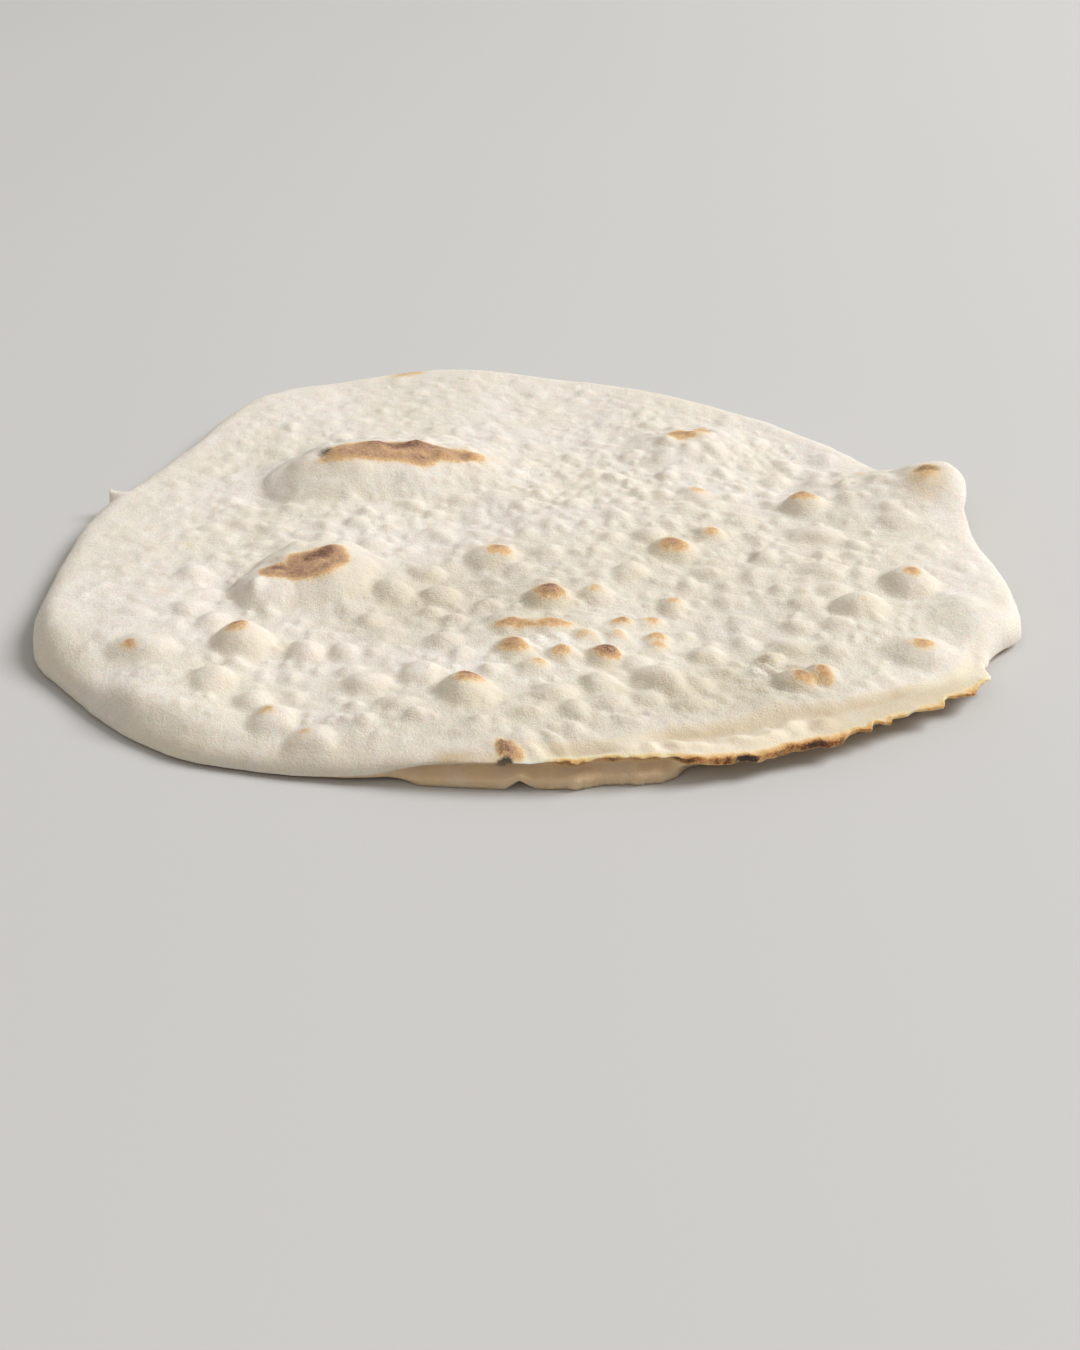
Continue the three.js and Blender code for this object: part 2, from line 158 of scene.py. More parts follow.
# Blisters that stand out, in the same form
BLISTERS = [
    (-77.7, -74, 17, 18, 0, 6.2), (-105, -79, 22, 13, -10, 3.1), (-83.5, -94.5, 14, 14, 0, 3.6),
    (-71.5, -104.5, 11, 11, 0, 2.6), (-66, -113, 13, 14, 0, 3.2), (-55, -123.5, 14, 13, 0, 2.4),
    (-61, -79, 12, 13, 20, 3.4), (-50, -78.5, 9.5, 10, 0, 2.6), (-16, -102, 18, 18, -25, 5.6),
    (-28, -91.5, 13, 12, 30, 2.8), (-43.5, -96, 13, 12, 0, 2.8), (-38, -43.5, 13, 13, 0, 3.2),
    (-25.5, -44, 12, 12, 0, 3.2), (-29, -30, 11, 10, 0, 2.4), (-11, -20, 17, 16, 10, 4),
    (6, -46.5, 16, 14, 0, 4.6), (20, -45, 11, 11, 0, 2.9), (-4, -65, 13, 10, 0, 2.8),
    (7, -66, 13, 9, 0, 2.4), (-5, -60, 16, 10, 0, 1.8), (2, -65.4, 24, 8, -3, 2.3),
    (16, -71, 9, 7, -15, 1.6), (-4, -78.5, 11.5, 12, 0, 3.2), (9, -81.5, 9.5, 9, 0, 2.6),
    (1.5, -87.5, 9, 8, 0, 2.2), (21.5, -82, 11, 11, 0, 3.4), (19.5, -95.5, 11, 12, 0, 3.1),
    (36, -94, 20, 12, -52, 3.8), (44.5, -94.5, 10, 9, -40, 2.4), (26, -63, 9, 8, 0, 2.1),
    (25, -70, 7, 7, 0, 1.4), (33.5, -61, 9, 8, 0, 2.2), (35.5, -70.5, 7.5, 7, 0, 2),
    (36, -75, 7, 6.5, 0, 1.8), (41, -51, 10, 9, 60, 2.8), (49, -78, 12, 11, 0, 2.8),
    (43.5, -17, 15, 15, 0, 4.2), (55, -7.5, 11, 11, 0, 2.8), (37.5, -7, 11, 10, 0, 2.4),
    (85.5, 13.5, 15.5, 15, -15, 4.6), (87.5, -6.5, 18, 12, -12, 3), (98.5, -13, 7, 7, 0, 1.6),
    (110, -39.5, 18.5, 18, -15, 4.8), (94, -54.5, 15.5, 16, -25, 4.2),
    (79.5, -51.5, 11, 10, 0, 1.7), (107.5, -78, 22, 16, -15, 3), (71.5, -75, 10.5, 10, 0, 1.8),
    (51.5, 21.5, 12, 12, 0, 2.4), (7, -101, 13, 12, 0, 2.7), (12.5, -109, 9, 9, 0, 2.2),
    (70.5, -22, 10, 9, 0, 1.8), (52, -31, 11, 9, 0, 1.8), (29, -31, 12, 10, 20, 3),
    (86, -30, 13, 11, 0, 1.8), (-98, -32, 11, 11, 0, 2), (-92, -43, 10, 9, 0, 1.8),
    (-44, -60, 11, 11, 0, 2.4), (88, -42, 11, 9, -20, 1.6), (76, -64, 11, 9, -30, 1.6),
    (60.5, -61.5, 11, 9, 0, 1.7), (86, -64.5, 9, 8, 0, 1.8), (-88, -62, 11, 9, 40, 2),
    (-96, -56, 11, 10, 0, 2.2), (97.5, -92.5, 11, 2.6, -60, 1), (-23, -73, 11, 9, 0, 2.4),
    (-34, -108, 12, 10, 0, 2.2), (66, 4, 11, 10, 0, 1.7), (79.5, 36, 10, 9, 0, 2),
    (49.5, 9.5, 9, 8, 0, 1.4), (112.5, 0, 12, 10, 0, 1.6), (21.5, -105.5, 11, 9, 0, 2),
    (31.5, -103, 10, 9, 0, 2), (43, -106.5, 12, 8, 0, 1.8), (66.6, -83, 8.5, 9.5, 0, 2.6),
]
# Broad lobes with steep sides, smooth beans with a clear outline, and a torn crater beside them
# with shards of skin. A crater's height is that of its ring.
LOBES = [
    (-62, -33, 36, 40, 0, 4.4), (-74.5, -43, 24, 27, 0, 4.2), (-63, 33, 44, 30, 4, 3.2),
    (-46, 35, 50, 30, 8, 1.8),
]
BEANS = [(71.5, -94.5, 12.5, 10, 8, 3.4), (79.2, -91.2, 10.5, 10, 25, 3.2)]
CRATERS = [(64.4, -85.4, 5.6, 7, 10, 0.3)]
SHARDS = [
    (65.2, -87.2, 9.4, 2, -56, 1.3), (61.6, -87.4, 3.6, 3, 0, 1.1), (65.6, -84.2, 1.7, 4, 15, 1.9),
    (63, -90, 4, 3, 30, 0.9),
]
# Torn stub at the near edge, and two folds of skin beside it
STUB = [
    (-6.3, -130.8, 2.6, 9, 4, 2.3), (-4, -131.4, 6, 8, 20, 1.8), (0.9, -130.5, 9, 4.4, -67, 1.8),
    (7.4, -126.2, 12, 5.4, -59, 1.8),
]
CRATER_DEEP = 3
# Profiles: higher is more pointed, lower is fuller
LOBE_FULLNESS = 0.55
BEAN_FULLNESS = 0.7
BLISTER_FULLNESS = 0.95
BUMP_FULLNESS = 1.4
PUFF_FULLNESS = 2
FOOT_BLUR = 0.5  # softens the foot of each blister
HOLLOW_REACH = 3  # the hollows between blisters are found by smoothing this far
BLISTER_RIM_FADE = 5  # blisters shrink over this distance from the edge

# Small bumps between the blisters, and still smaller pebbles between those
BUMPS = SimpleNamespace(
    count=420, width=(7.5, 12), roundness=(0.65, 1), height=(0.75, 2.1),
    jitter=4.5, crowding=0.36, seed=41)
PEBBLES = SimpleNamespace(
    count=2300, width=(3, 6.5), roundness=(0.6, 1), height=(0.25, 1),
    jitter=2.6, crowding=0.3, seed=7)
BUMP_RIM_GAP = 12
GOLDEN_ANGLE = 180 * (3 - math.sqrt(5))
# The bumps are lower where the skin is smooth, near the left, far and right rim
SMOOTH_LEFT = (-118, -75)
SMOOTH_FAR = (30, 100)
SMOOTH_RIGHT = (85, 130)
SMOOTH_BACK_LEFT = (-90, -45, 0, 35)  # from x, to x, from y, to y
SMOOTH_SHARE = 0.55  # how much lower they are there
SMOOTH_GRAIN_SHARE = 0.3  # how much lower the grain is there
# Pebbles are lower by this share on blisters of this height and more
PEBBLE_SHARE_LOST = 0.7
PEBBLE_FREE_HEIGHT = 1.5

# Unevenness of the skin: size of the noise, height
GRAIN = [(15, 0.5), (6, 0.28), (3, 0.13), (2, 0.05)]
# Blisters and marks are drawn out of round: size of the noise, shift
WARP = [(24, 1.2), (8, 0.7)]
WARP_SEED = 5
GRAIN_SEED = 11
# Unevenness of the outline, and of the lip on top of that: size of the noise, shift
RAGGED = [(16, 0.5), (5, 0.22)]
RAGGED_LIP = [(10, 0.8), (4.5, 0.9), (2.4, 0.45)]
CRUMBLED_SHARE = 0.9  # how much more uneven the crumbled edge is
TIP_TOAST = 0.1  # how much darker the edge is for each millimetre that it stands out
RAGGED_EDGE = [(9, 0.5), (3.2, 0.6)]  # unevenness of the lip's height
RAGGED_EDGE_REACH = 2.5
RAGGED_REACH = 6  # the outline's unevenness has faded out this far in from the edge
RAGGED_SEED = 31
# Noise along the rim is read round a circle, in a lane of its own for each use
RIM_CIRCLE = 140
RIM_LANES_APART = 10 * RIM_CIRCLE
OUTLINE_LANE, LIP_LANE, EDGE_LANE, TOAST_LANE = range(4)
# Soft lumps along the rolled edge: size and height, and the distances from the edge where they
# begin, are full, begin to fade and have faded out
ROLL_LUMPS = (30, 2.3)
LUMP_INSET = (0, 5, 16, 32)
LUMP_SEED = 57
# Toasted band along the lip: how dark from 0 to 1, how that varies, width
TOAST = 0.55
TOAST_UNEVEN = [(22, 0.3), (7, 0.3), (2.5, 0.25)]
TOAST_WIDTH = 3.4
TOAST_FADE = 1.5  # higher fades sooner, inwards from the edge
FACE_TOAST = 0.1  # how much darker the bottom of the lip's edge is
ROLL_PAINTED_SHADE = 1.1  # painted shade on the face of the rolled edge: how much it adds to the tan of slopes
ROLL_PAINTED_SHADE_REACH = 14
HOLLOW_PAINTED_SHADE = 0.7  # painted shade in the hollows round blisters: how much they add to the tan of their slopes

# Scorch marks: x, y, length, depth, bearing, how dark from 0 to 1, how sharp their outline is
SCORCHES = [
    (-40.5, 38.2, 60, 12.8, 13, 0.58, 1.8), (-34.5, 34.6, 12, 7, 10, 0.56, 1.6),
    (-61, -36, 23, 17, 40, 0.63, 1.8), (-72, -40, 12.6, 10, 10, 0.6, 1.6),
    (-79.2, -74.2, 8, 6, 0, 0.5, 1), (-108.6, -80.4, 6.2, 3.2, -38, 0.5, 1),
    (-67.2, -113, 5.2, 3.4, -30, 0.5, 1), (-56.2, -121.7, 4.4, 3.4, -25, 0.34, 1),
    (-15, -101.6, 10.4, 6.4, 10, 0.72, 1), (-8.8, -19, 9.6, 9, 10, 0.48, 1),
    (6.4, -47.2, 10.6, 8, 0, 0.66, 1.3), (19.7, -45.2, 4.8, 4.2, 0, 0.36, 1),
    (-3.3, -66.4, 13, 4, -2, 0.5, 1.5), (7.6, -66.4, 12.5, 3.8, 8, 0.48, 1.5),
    (15.4, -72, 9.4, 4.2, 0, 0.22, 1), (-4, -79.6, 9.6, 6.4, 0, 0.54, 1.3),
    (8.8, -82.3, 6.8, 5, 0, 0.48, 1), (2.1, -87.4, 6, 4.4, 0, 0.32, 1),
    (22.1, -82, 9.2, 6, 0, 0.84, 1.3), (25.7, -63.2, 6, 4.2, 0, 0.74, 1),
    (25.4, -70.8, 5.8, 4.2, 0, 0.3, 1), (33.8, -61, 5.8, 4.2, 0, 0.46, 1),
    (35.8, -70.6, 6, 4.2, 0, 0.46, 1), (36.3, -74.7, 5.2, 4, 0, 0.46, 1),
    (41, -50.5, 5, 4.6, 0, 0.42, 1), (43.4, -18.8, 10.2, 7, 0, 0.54, 1),
    (55.2, -8.5, 6.4, 5.2, 0, 0.4, 1), (53, 22, 8, 5.5, 0, 0.3, 1), (50, 61.5, 14, 9, -5, 0.42, 1),
    (56.4, 67, 7, 15, 10, 0.26, 1), (85.8, 13, 10, 6, 0, 0.46, 1), (110, -39.6, 7.2, 5, 0, 0.46, 1),
    (94.4, -57, 4.4, 3.6, 0, 0.2, 1), (107.6, -77.4, 8.4, 5.4, 5, 0.46, 1),
    (73.8, -95, 8, 6, 0, 0.6, 1.2), (79.9, -93, 5, 8, 0, 0.54, 1),
    # The next two are faint tan: in the torn crater, partly painted shade of its hole; over the beans,
    # partly their own tone and partly painted shade of their faces
    (64.4, -85.2, 5.6, 7.4, 0, 0.1, 1), (71, -97.5, 12, 7, 8, 0.1, 1),
    # The second here is a faint tan on the corner dome's near flank below its mark, partly its own tone
    # and partly painted shade
    (123.5, 19.4, 14, 6.8, -5, 0.3, 1), (124, 14.5, 17, 17, 0, 0.16, 1),
    (-44, 128.5, 18, 7, 5, 0.3, 1), (-6, -130, 4, 8.4, 0, 0.88, 1.6),
    (-4.2, -131.8, 6.4, 8.6, 20, 0.42, 1.2), (-103, -12, 7, 6, 0, 0.12, 1),
    (-104, -45, 7, 6, 0, 0.12, 1), (-116, 0, 7, 6, 0, 0.1, 1), (106.5, 35, 11, 10, 0, 0.14, 1),
]
SCORCH_PALE = 0.3  # a mark is paler by this share in its middle
SCORCH_BLUR = 0.5  # softens its outline
# Its far side is darker: shift from the middle, length and depth as shares of the mark's own,
# and how much darker
SCORCH_BACK = (0.2, 0.8, 0.6, 1.4)
HALO_SPREAD = 1.6  # the pale tan round a mark has faded out at this share of its size
# Charred spots: x, y, length, depth, bearing, how dark
CHARS = [
    (-65.6, 35.6, 6, 6, 0, 0.55), (124.6, 20.2, 13, 5, -12, 0.42), (-57, -30, 15, 3, 36, 0.2),
    (22.1, -82, 5, 4, 0, 0.34), (7.6, -45, 5.6, 2.8, 0, 0.28), (-6.2, -135.2, 5, 4.4, 0, 0.9),
]
# Charred bits along the rim: bearing, half width in degrees, how dark
RIM_CHARS = [
    (258.5, 0.5, 0.5), (262.6, 0.8, 0.5), (267.4, 1.1, 0.9), (279.6, 0.7, 0.6), (286.5, 0.8, 0.5),
    (293.4, 1.6, 0.9), (297, 0.9, 0.4), (300.5, 1, 0.45), (308, 0.7, 0.3), (314.5, 0.6, 0.3),
    (320, 0.9, 0.45),
]
RIM_CHAR_SHARE = 0.5  # how dark they are on the upper side
RIM_CHAR_FADE = 3  # higher fades sooner, inwards from the edge
# Floury patches: x, y, length, depth, bearing, how white
FLOURS = [
    (6, -74, 24, 11, -5, 0.9), (-3, 39, 24, 26, 0, 0.5), (62.4, -88.6, 9, 9, 0, 0.9),
    (-126, -46, 44, 26, 105, 0.6),
]
# Parts of the skin in a deeper cream, in the same form: partly the skin's own tone where it has less
# flour and is baked more, partly painted shade standing for the shade of the fine relief there
BAKED = [
    (60, -30, 140, 120, 0, 0.22), (-22, -48, 96, 70, 0, 0.6), (55, -98, 100, 44, 25, 0.7),
    (0, -112, 120, 44, 0, 0.36),
]

# Mesh fineness
TOP_RINGS = 156
RING_POINTS = 6  # points added by each ring
RING_EASE = 1.14  # rings lie closer together towards the rim
RIM_ROWS = 14
BOTTOM_RINGS = 40
MAP_STEP = 0.5  # spacing of the plan maps that hold relief and marks
MAP_HALF = 165
BLUR_PASSES = 3

# Camera: the photo's viewing angle, for a picture of 1080 by 1350 pixels; lengths in millimetres
PICTURE_LONG_SIDE = 1350
FOCAL_PIXELS = 2040
SENSOR = 36
CAMERA_PLACE = (3.4, -563.9, 281.9)
CAMERA_PITCH = 30

# Stage, in metres
FLOOR_HALF = 6
FLOOR_COLOURS = ("#c8c8c7", "#c5c5c5")
FLOOR_NOISE = (400, 1)  # size in millimetres, detail
FLOOR_ROUGHNESS = 0.9
FLOOR_SPECULAR = 0.1
WORLD_COLOUR = "#fbf6ee"
WORLD_STRENGTH = 0.41
# Lights: name, place, size, watts, colour
LIGHTS = [
    ("key", (2.83, 0.5, 2.78), 2.2, 164, (1, 0.99, 0.98)),
    ("fill", (-1.2, -1.5, 1.8), 1.5, 5, (1, 0.97, 0.94)),
]

# Noise in the crust: size in millimetres, detail, roughness
BROAD_NOISE = (34, 2)
PATCH_NOISE = (9, 3)
DULL_NOISE = (5, 3, 0.6)
BLOTCH_NOISE = (2.4, 3, 0.6)
FINE_NOISE = (1.1, 2, 0.6)
GRIT_NOISE = (0.45, 2, 0.6)
BLOTCH_GAIN = 0.9
FINE_GAIN = 1
GRIT_GAIN = 1.2

# Crust colours. A range says from which to which value of a noise or field a colour comes in,
# and the shares of it there, where those aren't 0 and 1.
CREAM = "#e7e2dc"
CREAM_WARM = "#e5e0d4"
CREAM_WARM_RANGE = (0.35, 0.65)
CREAM_PALE = "#eeeae4"
CREAM_PALE_RANGE = (0.45, 0.75, 0, 0.5)
CREAM_DULL = "#d8cec0"
CREAM_DULL_RANGE = (0.42, 0.7, 0, 0.34)
# Deeper cream: partly the skin's own tone where it has less flour, partly painted shade of the fine
# relief
BAKED_AND_SHADE_COLOUR = "#d3cbb6"
SPECKLE_COLOUR = "#bdac94"
SPECKLE_RANGE = (-0.5, 0.4, 0.36, 0)
# Tan of blister slopes, partly the thin skin's own tone and partly painted shade; in hollows and on the
# rolled edge's face it is painted shade only
SLOPE_TAN_AND_SHADE = "#e2d5b9"
SLOPE_TAN_AND_SHADE_RANGE = (0.15, 1.1)
SLOPE_TAN_AND_SHADE_PATCHES = (0.3, 0.7, 0.15, 0.4)
LIP_COLOUR = "#e7dbc2"
LIP_SHARE = 0.7
# Tan of skin without flour; in the lip's valley and in the band along the edge it is also painted shade
BARE_TAN_AND_SHADE = "#c9b79b"
BARE_TAN_AND_SHADE_PATCHES = (0.3, 0.7, 0.95, 0.6)
HALO_COLOUR = "#dcc49c"
HALO_SHARE = 0.35
FLOUR_COLOUR = "#f2efeb"
FLOUR_RANGE = (-0.3, 0.3)
UNDER_COLOUR = "#dcc09c"
UNDER_PATCHES = (0.3, 0.6, 0.75, 1)
SCORCH_COLOURS = [
    (0.04, "#ead9b8"), (0.16, "#dfc093"), (0.34, "#c9a47a"),
    (0.52, "#b08f75"), (0.72, "#8d6b56"), (1.0, "#583f33"),
]
SCORCH_RANGE = (0.02, 0.24)
SCORCH_SPECKLE = 0.9
SCORCH_BLOTCH = 0.7
TOAST_COLOURS = [
    (0.05, "#ecdcb8"), (0.3, "#dfbf8b"), (0.55, "#c99c66"), (0.8, "#98693f"), (1.0, "#5f4232"),
]
TOAST_RANGE = (0.03, 0.25)
CHAR_COLOUR = "#4a403b"
CHAR_RANGE = (0.1, 0.7)

# Crust surface
ROUGHNESS_RANGE = (-0.5, 0.5, 0.78, 0.95)
SPECULAR = 0.25
SUBSURFACE_WEIGHT = 0.5
SUBSURFACE_RADIUS = (1.0, 0.6, 0.35)
SUBSURFACE_SCALE = 3.5
RELIEF_BLOTCH = 0.3
RELIEF_BAKED = 1.6  # how much stronger the relief is where the skin has less flour
RELIEF_STRENGTH = 0.8
RELIEF_HEIGHT = 0.25

MASK = 0xFFFFFFFF  # keeps the draws to 32 bits


def smoothstep(value, low, high):
    share = np.clip((value - low) / (high - low), 0, 1)
    return share * share * (3 - 2 * share)


def lerp(start, end, share):
    return start + (end - start) * share


def seeded_draws(seed):
    """Repeatable draws between 0 and 1."""
    state = seed

    def draw():
        nonlocal state
        state = (state + 0x6D2B79F5) & MASK
        mixed = ((state ^ (state >> 15)) * (state | 1)) & MASK
        mixed = (mixed + (mixed ^ (mixed >> 7)) * (mixed | 61) & MASK) & MASK ^ mixed
        return (mixed ^ (mixed >> 14)) / 2**32

    return draw


class SmoothNoise:
    """Gradient noise over the plan, between about -1 and 1, the same on every run."""

    CELLS = 256
    GAIN = 1.5

    def __init__(self, seed):
        turns = np.random.default_rng(seed).uniform(0, 2 * np.pi, (self.CELLS, self.CELLS))
        self.slope_x = np.cos(turns)
        self.slope_y = np.sin(turns)

    def __call__(self, x, y, size):
        u = x / size
        v = y / size
        column = np.floor(u).astype(int)
        row = np.floor(v).astype(int)
        u = u - column
        v = v - row

        def corner(i, j):
            cell = ((column + i) % self.CELLS, (row + j) % self.CELLS)
            return self.slope_x[cell] * (u - i) + self.slope_y[cell] * (v - j)

        ease_u = u**3 * (u * (6 * u - 15) + 10)
        ease_v = v**3 * (v * (6 * v - 15) + 10)
        near = lerp(corner(0, 0), corner(1, 0), ease_u)
        far = lerp(corner(0, 1), corner(1, 1), ease_u)
        return self.GAIN * lerp(near, far, ease_v)


class PlanMap:
    """Values on a square grid over the plan, filled mark by mark and read anywhere."""

    axis = np.arange(-MAP_HALF, MAP_HALF + MAP_STEP, MAP_STEP)
    end = len(axis) - 1.001  # just short of the last grid line, so that a cell lies beyond it

    def __init__(self):
        self.values = np.zeros((len(self.axis), len(self.axis)))

    def stamp(self, x, y, long, deep, bearing, profile):
        """Keeps the higher of what is there and profile(1 - distance squared) inside an ellipse."""
        reach = max(long, deep) / 2
        first = [int((at - reach + MAP_HALF) / MAP_STEP) for at in (x, y)]
        last = [int((at + reach + MAP_HALF) / MAP_STEP) + 2 for at in (x, y)]
        window = (slice(max(first[0], 0), last[0]), slice(max(first[1], 0), last[1]))
        east = self.axis[window[0], None] - x
        north = self.axis[None, window[1]] - y
        cos, sin = math.cos(math.radians(bearing)), math.sin(math.radians(bearing))
        along = (east * cos + north * sin) / (long / 2)
        across = (north * cos - east * sin) / (deep / 2)
        left = np.clip(1 - along**2 - across**2, 0, 1)
        self.values[window] = np.maximum(self.values[window], profile(left))

    def read(self, x, y):
        u = np.clip((x + MAP_HALF) / MAP_STEP, 0, self.end)
        v = np.clip((y + MAP_HALF) / MAP_STEP, 0, self.end)
        i = u.astype(int)
        j = v.astype(int)
        near = lerp(self.values[i, j], self.values[i + 1, j], u - i)
        far = lerp(self.values[i, j + 1], self.values[i + 1, j + 1], u - i)
        return lerp(near, far, v - j)

    def blurred(self, reach):
        """A copy smoothed by passes of a box of that half width."""
        half = max(1, round(reach / MAP_STEP))
        made = PlanMap()
        made.values = self.values
        for _ in range(BLUR_PASSES):
            for side in (0, 1):
                made.values = box_blur(made.values, half, side)
        return made


def box_blur(values, half, side):
    before = np.take(values, [0] * (half + 1), side)
    after = np.take(values, [-1] * half, side)
    padded = np.concatenate([before, values, after], side)
    total = np.cumsum(padded, side)
    width = 2 * half + 1
    count = values.shape[side]
    high = np.take(total, range(width, width + count), side)
    low = np.take(total, range(0, count), side)
    return (high - low) / width


def within(stretch, bearing):
    """Share of a stretch of the rim that is in effect at a bearing."""
    start, end, fade = stretch
    half = (end - start) / 2
    away = np.abs((bearing - (start + end) / 2 + 180) % 360 - 180)
    return 1 - smoothstep(away, half, half + fade)


def round_curve(pairs, bearing):
    """Smooth closed curve through values at some bearings."""
    angles = np.array([angle + turn for turn in (-360, 0, 360) for angle, _ in pairs], float)
    values = np.array([value for _ in range(3) for _, value in pairs], float)
    following = np.searchsorted(angles, bearing, side="right")
    a0, a1, a2, a3 = (angles[following + k] for k in (-2, -1, 0, 1))
    r0, r1, r2, r3 = (values[following + k] for k in (-2, -1, 0, 1))
    span = a2 - a1
    share = (bearing - a1) / span
    slope1 = (r2 - r0) / (a2 - a0) * span
    slope2 = (r3 - r1) / (a3 - a1) * span
    square = share**2
    cube = share**3
    return ((2 * cube - 3 * square + 1) * r1 + (cube - 2 * square + share) * slope1
            + (3 * square - 2 * cube) * r2 + (cube - square) * slope2)


def rim_noise(bearing, layers, lane):
    """Noise along the rim, as a sum of layers of some size and height."""
    x = RIM_CIRCLE * np.cos(np.radians(bearing))
    y = RIM_CIRCLE * np.sin(np.radians(bearing)) + lane * RIM_LANES_APART
    return sum(shift * RIM_NOISE(x, y, size) for size, shift in layers)


def rim_at(bearing):
    """Everything about the rim at some bearings."""
    roll = within(ROLL, bearing)
    two_skins = within(TWO_SKINS, bearing)
    lip = within(LIP, bearing)
    corner = within(CORNER, bearing)
    flake = within(FLAKE, bearing)
    ragged_lip = lip * (1 + CRUMBLED_SHARE * within(CRUMBLED, bearing))
    ragged_lip *= rim_noise(bearing, RAGGED_LIP, LIP_LANE)
    notch = np.clip(1 - np.abs(bearing - NOTCH[0]) / NOTCH[1], 0, 1)
    toast = TOAST + rim_noise(bearing, TOAST_UNEVEN, TOAST_LANE) + TIP_TOAST * ragged_lip
    char = sum(dark * np.clip(1 - ((bearing - at) / half) ** 2, 0, 1) for at, half, dark in RIM_CHARS)
    return SimpleNamespace(
        radius=round_curve(RIM, bearing) + FLAKE_LONG * flake,
        ragged=rim_noise(bearing, RAGGED, OUTLINE_LANE) + ragged_lip,
        edge=round_curve(EDGE_HEIGHTS, bearing) + EDGE_CORNER * corner + EDGE_FLAKE * flake,
        ragged_edge=lip * rim_noise(bearing, RAGGED_EDGE, EDGE_LANE),
        lift=((RIM_LIFT + LIFT_ROLL * roll) * (1 - two_skins) + LIFT_CORNER * corner
              + LIFT_NOTCH * notch),
        bend=lerp(lerp(BEND, BEND_ROLL, roll), BEND_LIP, lip),
        toast=np.clip(toast, 0, None) * lip * within(TOASTED, bearing),
        flap_thick=FLAP_THICK + THICKER_LIP * within(THICK_LIP, bearing),
        tanned=within(TANNED, bearing),
        tan_and_shade_edge=within(TAN_AND_SHADE_EDGE, bearing),
        lip_width=np.interp(bearing, *zip(*LIP_WIDTHS)),
        crested=within(CRESTED, bearing),
        valleys=[within(stretch, bearing) for stretch, _ in VALLEYS],
        char=char, lip=lip, two_skins=two_skins, roll=roll, flap=lip * (1 - two_skins))


def plan_point(bearing, rim, inset):
    """Plan point some way in from the rim, with the outline's unevenness near the edge."""
    radius = rim.radius - inset + rim.ragged * (1 - smoothstep(inset, 0, RAGGED_REACH))
    return radius * np.cos(np.radians(bearing)), radius * np.sin(np.radians(bearing))


def smooth_share(x, y):
    """1 where the skin is smooth, 0 where it is full of bumps."""
    from_x, to_x, from_y, to_y = SMOOTH_BACK_LEFT
    back_left = (1 - smoothstep(x, from_x, to_x)) * smoothstep(y, from_y, to_y)
    return np.maximum.reduce([
        1 - smoothstep(x, *SMOOTH_LEFT), smoothstep(y, *SMOOTH_FAR),
        smoothstep(x, *SMOOTH_RIGHT), back_left])


def scatter(kind, taken):
    """Small bumps spread evenly by a seeded rule, wherever there is room between those taken."""
    placed = np.array(taken, float).reshape(-1, 3)
    draw = seeded_draws(kind.seed)
    made = []
    for k in range(kind.count):
        bearing = (k * GOLDEN_ANGLE) % 360
        reach = round_curve(RIM, np.array(bearing)) - BUMP_RIM_GAP
        radius = reach * math.sqrt((k + 0.5) / kind.count)
        x = radius * math.cos(math.radians(bearing)) + lerp(-kind.jitter, kind.jitter, draw())
        y = radius * math.sin(math.radians(bearing)) + lerp(-kind.jitter, kind.jitter, draw())
        long = lerp(*kind.width, draw())
        deep = long * lerp(*kind.roundness, draw())
        turn = 180 * draw()
        high = lerp(*kind.height, draw()) * (1 - SMOOTH_SHARE * smooth_share(x, y))
        gap = np.hypot(placed[:, 0] - x, placed[:, 1] - y)
        if np.all(gap > kind.crowding * (long + placed[:, 2])):
            made.append((x, y, long, deep, turn, high))
            placed = np.vstack([placed, (x, y, long)])
    return made


def stamp_bumps(plan, bumps, fullness):
    for x, y, long, deep, bearing, high in bumps:
        plan.stamp(x, y, long, deep, bearing, lambda left: high * left**fullness)


def stamped(marks, profile, spread=1):
    plan = PlanMap()
    for x, y, long, deep, bearing, *more in marks:
        plan.stamp(x, y, spread * long, spread * deep, bearing, lambda left: profile(left, *more))
    return plan


def scorch_depth(left, dark, sharp):
    return dark * np.minimum(1, sharp * left) * (1 - SCORCH_PALE * left**2)


